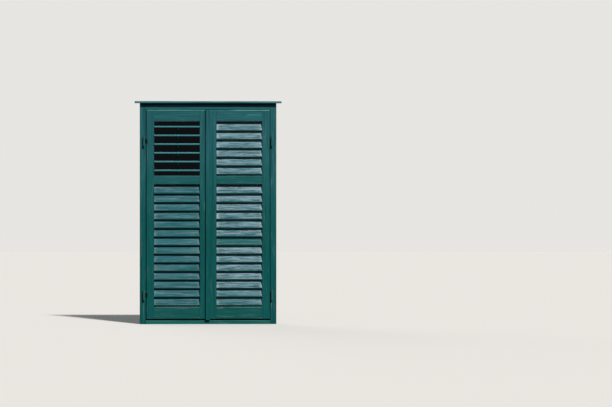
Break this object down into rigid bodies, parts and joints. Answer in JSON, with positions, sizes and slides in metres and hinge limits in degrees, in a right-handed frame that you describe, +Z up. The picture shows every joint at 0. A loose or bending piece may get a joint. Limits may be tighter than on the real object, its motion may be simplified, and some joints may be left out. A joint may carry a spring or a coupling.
{
  "type": "window shutters",
  "caption": "Pair of hinged louvred window shutters in an outer frame with a drip cap; the slats of each field tilt together on a rod.",
  "frame": {"origin": "middle of the bottom edge of the frame's back face", "axes": "+X to the right seen from outside, +Y into the wall, +Z up"},
  "size_m": [0.95, 0.086, 1.444],
  "materials": {
    "frame_paint": "painted wood, matt and weathered",
    "cap_paint": "painted wood, matt and weathered",
    "leaf_paint": "painted wood, matt and weathered",
    "faded_slat_paint": "painted wood, matt and weathered",
    "chalky_slat_paint": "painted wood, matt and weathered",
    "fresh_slat_paint": "painted wood, matt and weathered",
    "rod_paint": "painted wood, matt and weathered",
    "hinge_paint": "brushed paint over steel"
  },
  "bodies": {
    "frame": {"frame_head": "frame_paint", "frame_sill": "frame_paint", "left_jamb": "frame_paint", "right_jamb": "frame_paint", "drip_cap": "cap_paint", "hinge_pintles": "hinge_paint"},
    "left_leaf": {"left_hinge_stile": "leaf_paint", "left_meeting_stile": "leaf_paint", "left_rails": "leaf_paint", "left_hinge_knuckles": "hinge_paint"},
    "right_leaf": {"right_hinge_stile": "leaf_paint", "right_meeting_stile": "leaf_paint", "right_rails": "leaf_paint", "right_hinge_knuckles": "hinge_paint", "right_meeting_strip": "leaf_paint"},
    "left_upper_slat_1": {"left_upper_slat_1": "faded_slat_paint"},
    "left_upper_slat_2": {"left_upper_slat_2": "faded_slat_paint"},
    "left_upper_slat_3": {"left_upper_slat_3": "faded_slat_paint"},
    "left_upper_slat_4": {"left_upper_slat_4": "faded_slat_paint"},
    "left_upper_slat_5": {"left_upper_slat_5": "faded_slat_paint"},
    "left_upper_slat_6": {"left_upper_slat_6": "faded_slat_paint"},
    "left_upper_tilt_rod": {"left_upper_tilt_rod": "rod_paint"},
    "left_lower_slat_1": {"left_lower_slat_1": "faded_slat_paint"},
    "left_lower_slat_2": {"left_lower_slat_2": "faded_slat_paint"},
    "left_lower_slat_3": {"left_lower_slat_3": "faded_slat_paint"},
    "left_lower_slat_4": {"left_lower_slat_4": "faded_slat_paint"},
    "left_lower_slat_5": {"left_lower_slat_5": "faded_slat_paint"},
    "left_lower_slat_6": {"left_lower_slat_6": "faded_slat_paint"},
    "left_lower_slat_7": {"left_lower_slat_7": "faded_slat_paint"},
    "left_lower_slat_8": {"left_lower_slat_8": "faded_slat_paint"},
    "left_lower_slat_9": {"left_lower_slat_9": "faded_slat_paint"},
    "left_lower_slat_10": {"left_lower_slat_10": "faded_slat_paint"},
    "left_lower_slat_11": {"left_lower_slat_11": "faded_slat_paint"},
    "left_lower_slat_12": {"left_lower_slat_12": "faded_slat_paint"},
    "left_lower_slat_13": {"left_lower_slat_13": "faded_slat_paint"},
    "left_lower_slat_14": {"left_lower_slat_14": "faded_slat_paint"},
    "left_lower_tilt_rod": {"left_lower_tilt_rod": "rod_paint"},
    "right_upper_slat_1": {"right_upper_slat_1": "chalky_slat_paint"},
    "right_upper_slat_2": {"right_upper_slat_2": "chalky_slat_paint"},
    "right_upper_slat_3": {"right_upper_slat_3": "chalky_slat_paint"},
    "right_upper_slat_4": {"right_upper_slat_4": "chalky_slat_paint"},
    "right_upper_slat_5": {"right_upper_slat_5": "chalky_slat_paint"},
    "right_upper_slat_6": {"right_upper_slat_6": "chalky_slat_paint"},
    "right_upper_tilt_rod": {"right_upper_tilt_rod": "rod_paint"},
    "right_lower_slat_1": {"right_lower_slat_1": "chalky_slat_paint"},
    "right_lower_slat_2": {"right_lower_slat_2": "chalky_slat_paint"},
    "right_lower_slat_3": {"right_lower_slat_3": "chalky_slat_paint"},
    "right_lower_slat_4": {"right_lower_slat_4": "chalky_slat_paint"},
    "right_lower_slat_5": {"right_lower_slat_5": "chalky_slat_paint"},
    "right_lower_slat_6": {"right_lower_slat_6": "chalky_slat_paint"},
    "right_lower_slat_7": {"right_lower_slat_7": "fresh_slat_paint"},
    "right_lower_slat_8": {"right_lower_slat_8": "chalky_slat_paint"},
    "right_lower_slat_9": {"right_lower_slat_9": "chalky_slat_paint"},
    "right_lower_slat_10": {"right_lower_slat_10": "chalky_slat_paint"},
    "right_lower_slat_11": {"right_lower_slat_11": "chalky_slat_paint"},
    "right_lower_slat_12": {"right_lower_slat_12": "chalky_slat_paint"},
    "right_lower_slat_13": {"right_lower_slat_13": "chalky_slat_paint"},
    "right_lower_slat_14": {"right_lower_slat_14": "chalky_slat_paint"},
    "right_lower_tilt_rod": {"right_lower_tilt_rod": "rod_paint"}
  },
  "joints": [
    {"name": "left_leaf_swing", "type": "hinge", "parent": "frame", "child": "left_leaf", "pos_m": [-0.414, -0.074, 0.19], "axis": [0, 0, 1], "range_deg": [-180, 0]},
    {"name": "right_leaf_swing", "type": "hinge", "parent": "frame", "child": "right_leaf", "pos_m": [0.414, -0.074, 0.19], "axis": [0, 0, 1], "range_deg": [0, 180]},
    {"name": "left_upper_tilt", "type": "hinge", "parent": "left_leaf", "child": "left_upper_slat_1", "pos_m": [-0.202, -0.044, 1.277], "axis": [1, 0, 0], "range_deg": [-2, 73]},
    {"name": "left_upper_slat_2_tilt", "type": "hinge", "parent": "left_leaf", "child": "left_upper_slat_2", "pos_m": [-0.202, -0.044, 1.2204], "axis": [1, 0, 0], "range_deg": [-2, 73]},
    {"name": "left_upper_slat_3_tilt", "type": "hinge", "parent": "left_leaf", "child": "left_upper_slat_3", "pos_m": [-0.202, -0.044, 1.1638], "axis": [1, 0, 0], "range_deg": [-2, 73]},
    {"name": "left_upper_slat_4_tilt", "type": "hinge", "parent": "left_leaf", "child": "left_upper_slat_4", "pos_m": [-0.202, -0.044, 1.1072], "axis": [1, 0, 0], "range_deg": [-2, 73]},
    {"name": "left_upper_slat_5_tilt", "type": "hinge", "parent": "left_leaf", "child": "left_upper_slat_5", "pos_m": [-0.202, -0.044, 1.0506], "axis": [1, 0, 0], "range_deg": [-2, 73]},
    {"name": "left_upper_slat_6_tilt", "type": "hinge", "parent": "left_leaf", "child": "left_upper_slat_6", "pos_m": [-0.202, -0.044, 0.994], "axis": [1, 0, 0], "range_deg": [-2, 73]},
    {"name": "left_upper_tilt_rod_link", "type": "hinge", "parent": "left_upper_slat_1", "child": "left_upper_tilt_rod", "pos_m": [-0.202, -0.00748, 1.26276], "axis": [1, 0, 0], "range_deg": [-73, 2]},
    {"name": "left_lower_tilt", "type": "hinge", "parent": "left_leaf", "child": "left_lower_slat_1", "pos_m": [-0.202, -0.044, 0.87], "axis": [1, 0, 0], "range_deg": [-66, 9]},
    {"name": "left_lower_slat_2_tilt", "type": "hinge", "parent": "left_leaf", "child": "left_lower_slat_2", "pos_m": [-0.202, -0.044, 0.81423], "axis": [1, 0, 0], "range_deg": [-66, 9]},
    {"name": "left_lower_slat_3_tilt", "type": "hinge", "parent": "left_leaf", "child": "left_lower_slat_3", "pos_m": [-0.202, -0.044, 0.75846], "axis": [1, 0, 0], "range_deg": [-66, 9]},
    {"name": "left_lower_slat_4_tilt", "type": "hinge", "parent": "left_leaf", "child": "left_lower_slat_4", "pos_m": [-0.202, -0.044, 0.70269], "axis": [1, 0, 0], "range_deg": [-66, 9]},
    {"name": "left_lower_slat_5_tilt", "type": "hinge", "parent": "left_leaf", "child": "left_lower_slat_5", "pos_m": [-0.202, -0.044, 0.64692], "axis": [1, 0, 0], "range_deg": [-66, 9]},
    {"name": "left_lower_slat_6_tilt", "type": "hinge", "parent": "left_leaf", "child": "left_lower_slat_6", "pos_m": [-0.202, -0.044, 0.59115], "axis": [1, 0, 0], "range_deg": [-66, 9]},
    {"name": "left_lower_slat_7_tilt", "type": "hinge", "parent": "left_leaf", "child": "left_lower_slat_7", "pos_m": [-0.202, -0.044, 0.53538], "axis": [1, 0, 0], "range_deg": [-66, 9]},
    {"name": "left_lower_slat_8_tilt", "type": "hinge", "parent": "left_leaf", "child": "left_lower_slat_8", "pos_m": [-0.202, -0.044, 0.47962], "axis": [1, 0, 0], "range_deg": [-66, 9]},
    {"name": "left_lower_slat_9_tilt", "type": "hinge", "parent": "left_leaf", "child": "left_lower_slat_9", "pos_m": [-0.202, -0.044, 0.42385], "axis": [1, 0, 0], "range_deg": [-66, 9]},
    {"name": "left_lower_slat_10_tilt", "type": "hinge", "parent": "left_leaf", "child": "left_lower_slat_10", "pos_m": [-0.202, -0.044, 0.36808], "axis": [1, 0, 0], "range_deg": [-66, 9]},
    {"name": "left_lower_slat_11_tilt", "type": "hinge", "parent": "left_leaf", "child": "left_lower_slat_11", "pos_m": [-0.202, -0.044, 0.31231], "axis": [1, 0, 0], "range_deg": [-66, 9]},
    {"name": "left_lower_slat_12_tilt", "type": "hinge", "parent": "left_leaf", "child": "left_lower_slat_12", "pos_m": [-0.202, -0.044, 0.25654], "axis": [1, 0, 0], "range_deg": [-66, 9]},
    {"name": "left_lower_slat_13_tilt", "type": "hinge", "parent": "left_leaf", "child": "left_lower_slat_13", "pos_m": [-0.202, -0.044, 0.20077], "axis": [1, 0, 0], "range_deg": [-66, 9]},
    {"name": "left_lower_slat_14_tilt", "type": "hinge", "parent": "left_leaf", "child": "left_lower_slat_14", "pos_m": [-0.202, -0.044, 0.145], "axis": [1, 0, 0], "range_deg": [-66, 9]},
    {"name": "left_lower_tilt_rod_link", "type": "hinge", "parent": "left_lower_slat_1", "child": "left_lower_tilt_rod", "pos_m": [-0.202, -0.01519, 0.89658], "axis": [1, 0, 0], "range_deg": [-9, 66]},
    {"name": "right_upper_tilt", "type": "hinge", "parent": "right_leaf", "child": "right_upper_slat_1", "pos_m": [0.202, -0.044, 1.277], "axis": [1, 0, 0], "range_deg": [-63, 12]},
    {"name": "right_upper_slat_2_tilt", "type": "hinge", "parent": "right_leaf", "child": "right_upper_slat_2", "pos_m": [0.202, -0.044, 1.2204], "axis": [1, 0, 0], "range_deg": [-63, 12]},
    {"name": "right_upper_slat_3_tilt", "type": "hinge", "parent": "right_leaf", "child": "right_upper_slat_3", "pos_m": [0.202, -0.044, 1.1638], "axis": [1, 0, 0], "range_deg": [-63, 12]},
    {"name": "right_upper_slat_4_tilt", "type": "hinge", "parent": "right_leaf", "child": "right_upper_slat_4", "pos_m": [0.202, -0.044, 1.1072], "axis": [1, 0, 0], "range_deg": [-63, 12]},
    {"name": "right_upper_slat_5_tilt", "type": "hinge", "parent": "right_leaf", "child": "right_upper_slat_5", "pos_m": [0.202, -0.044, 1.0506], "axis": [1, 0, 0], "range_deg": [-63, 12]},
    {"name": "right_upper_slat_6_tilt", "type": "hinge", "parent": "right_leaf", "child": "right_upper_slat_6", "pos_m": [0.202, -0.044, 0.994], "axis": [1, 0, 0], "range_deg": [-63, 12]},
    {"name": "right_upper_tilt_rod_link", "type": "hinge", "parent": "right_upper_slat_1", "child": "right_upper_tilt_rod", "pos_m": [0.202, -0.01384, 1.30203], "axis": [1, 0, 0], "range_deg": [-12, 63]},
    {"name": "right_lower_tilt", "type": "hinge", "parent": "right_leaf", "child": "right_lower_slat_1", "pos_m": [0.202, -0.044, 0.87], "axis": [1, 0, 0], "range_deg": [-63, 12]},
    {"name": "right_lower_slat_2_tilt", "type": "hinge", "parent": "right_leaf", "child": "right_lower_slat_2", "pos_m": [0.202, -0.044, 0.81423], "axis": [1, 0, 0], "range_deg": [-63, 12]},
    {"name": "right_lower_slat_3_tilt", "type": "hinge", "parent": "right_leaf", "child": "right_lower_slat_3", "pos_m": [0.202, -0.044, 0.75846], "axis": [1, 0, 0], "range_deg": [-63, 12]},
    {"name": "right_lower_slat_4_tilt", "type": "hinge", "parent": "right_leaf", "child": "right_lower_slat_4", "pos_m": [0.202, -0.044, 0.70269], "axis": [1, 0, 0], "range_deg": [-63, 12]},
    {"name": "right_lower_slat_5_tilt", "type": "hinge", "parent": "right_leaf", "child": "right_lower_slat_5", "pos_m": [0.202, -0.044, 0.64692], "axis": [1, 0, 0], "range_deg": [-63, 12]},
    {"name": "right_lower_slat_6_tilt", "type": "hinge", "parent": "right_leaf", "child": "right_lower_slat_6", "pos_m": [0.202, -0.044, 0.59115], "axis": [1, 0, 0], "range_deg": [-63, 12]},
    {"name": "right_lower_slat_7_tilt", "type": "hinge", "parent": "right_leaf", "child": "right_lower_slat_7", "pos_m": [0.202, -0.044, 0.53538], "axis": [1, 0, 0], "range_deg": [-63, 12]},
    {"name": "right_lower_slat_8_tilt", "type": "hinge", "parent": "right_leaf", "child": "right_lower_slat_8", "pos_m": [0.202, -0.044, 0.47962], "axis": [1, 0, 0], "range_deg": [-63, 12]},
    {"name": "right_lower_slat_9_tilt", "type": "hinge", "parent": "right_leaf", "child": "right_lower_slat_9", "pos_m": [0.202, -0.044, 0.42385], "axis": [1, 0, 0], "range_deg": [-63, 12]},
    {"name": "right_lower_slat_10_tilt", "type": "hinge", "parent": "right_leaf", "child": "right_lower_slat_10", "pos_m": [0.202, -0.044, 0.36808], "axis": [1, 0, 0], "range_deg": [-63, 12]},
    {"name": "right_lower_slat_11_tilt", "type": "hinge", "parent": "right_leaf", "child": "right_lower_slat_11", "pos_m": [0.202, -0.044, 0.31231], "axis": [1, 0, 0], "range_deg": [-63, 12]},
    {"name": "right_lower_slat_12_tilt", "type": "hinge", "parent": "right_leaf", "child": "right_lower_slat_12", "pos_m": [0.202, -0.044, 0.25654], "axis": [1, 0, 0], "range_deg": [-63, 12]},
    {"name": "right_lower_slat_13_tilt", "type": "hinge", "parent": "right_leaf", "child": "right_lower_slat_13", "pos_m": [0.202, -0.044, 0.20077], "axis": [1, 0, 0], "range_deg": [-63, 12]},
    {"name": "right_lower_slat_14_tilt", "type": "hinge", "parent": "right_leaf", "child": "right_lower_slat_14", "pos_m": [0.202, -0.044, 0.145], "axis": [1, 0, 0], "range_deg": [-63, 12]},
    {"name": "right_lower_tilt_rod_link", "type": "hinge", "parent": "right_lower_slat_1", "child": "right_lower_tilt_rod", "pos_m": [0.202, -0.01384, 0.89503], "axis": [1, 0, 0], "range_deg": [-12, 63]}
  ],
  "couplings": [
    {"joint": "left_leaf_swing", "follows": "right_leaf_swing", "ratio": -1},
    {"joint": "left_upper_slat_2_tilt", "follows": "left_upper_tilt", "ratio": 1},
    {"joint": "left_upper_slat_3_tilt", "follows": "left_upper_tilt", "ratio": 1},
    {"joint": "left_upper_slat_4_tilt", "follows": "left_upper_tilt", "ratio": 1},
    {"joint": "left_upper_slat_5_tilt", "follows": "left_upper_tilt", "ratio": 1},
    {"joint": "left_upper_slat_6_tilt", "follows": "left_upper_tilt", "ratio": 1},
    {"joint": "left_upper_tilt_rod_link", "follows": "left_upper_tilt", "ratio": -1},
    {"joint": "left_lower_slat_2_tilt", "follows": "left_lower_tilt", "ratio": 1},
    {"joint": "left_lower_slat_3_tilt", "follows": "left_lower_tilt", "ratio": 1},
    {"joint": "left_lower_slat_4_tilt", "follows": "left_lower_tilt", "ratio": 1},
    {"joint": "left_lower_slat_5_tilt", "follows": "left_lower_tilt", "ratio": 1},
    {"joint": "left_lower_slat_6_tilt", "follows": "left_lower_tilt", "ratio": 1},
    {"joint": "left_lower_slat_7_tilt", "follows": "left_lower_tilt", "ratio": 1},
    {"joint": "left_lower_slat_8_tilt", "follows": "left_lower_tilt", "ratio": 1},
    {"joint": "left_lower_slat_9_tilt", "follows": "left_lower_tilt", "ratio": 1},
    {"joint": "left_lower_slat_10_tilt", "follows": "left_lower_tilt", "ratio": 1},
    {"joint": "left_lower_slat_11_tilt", "follows": "left_lower_tilt", "ratio": 1},
    {"joint": "left_lower_slat_12_tilt", "follows": "left_lower_tilt", "ratio": 1},
    {"joint": "left_lower_slat_13_tilt", "follows": "left_lower_tilt", "ratio": 1},
    {"joint": "left_lower_slat_14_tilt", "follows": "left_lower_tilt", "ratio": 1},
    {"joint": "left_lower_tilt_rod_link", "follows": "left_lower_tilt", "ratio": -1},
    {"joint": "right_upper_slat_2_tilt", "follows": "right_upper_tilt", "ratio": 1},
    {"joint": "right_upper_slat_3_tilt", "follows": "right_upper_tilt", "ratio": 1},
    {"joint": "right_upper_slat_4_tilt", "follows": "right_upper_tilt", "ratio": 1},
    {"joint": "right_upper_slat_5_tilt", "follows": "right_upper_tilt", "ratio": 1},
    {"joint": "right_upper_slat_6_tilt", "follows": "right_upper_tilt", "ratio": 1},
    {"joint": "right_upper_tilt_rod_link", "follows": "right_upper_tilt", "ratio": -1},
    {"joint": "right_lower_slat_2_tilt", "follows": "right_lower_tilt", "ratio": 1},
    {"joint": "right_lower_slat_3_tilt", "follows": "right_lower_tilt", "ratio": 1},
    {"joint": "right_lower_slat_4_tilt", "follows": "right_lower_tilt", "ratio": 1},
    {"joint": "right_lower_slat_5_tilt", "follows": "right_lower_tilt", "ratio": 1},
    {"joint": "right_lower_slat_6_tilt", "follows": "right_lower_tilt", "ratio": 1},
    {"joint": "right_lower_slat_7_tilt", "follows": "right_lower_tilt", "ratio": 1},
    {"joint": "right_lower_slat_8_tilt", "follows": "right_lower_tilt", "ratio": 1},
    {"joint": "right_lower_slat_9_tilt", "follows": "right_lower_tilt", "ratio": 1},
    {"joint": "right_lower_slat_10_tilt", "follows": "right_lower_tilt", "ratio": 1},
    {"joint": "right_lower_slat_11_tilt", "follows": "right_lower_tilt", "ratio": 1},
    {"joint": "right_lower_slat_12_tilt", "follows": "right_lower_tilt", "ratio": 1},
    {"joint": "right_lower_slat_13_tilt", "follows": "right_lower_tilt", "ratio": 1},
    {"joint": "right_lower_slat_14_tilt", "follows": "right_lower_tilt", "ratio": 1},
    {"joint": "right_lower_tilt_rod_link", "follows": "right_lower_tilt", "ratio": -1}
  ]
}
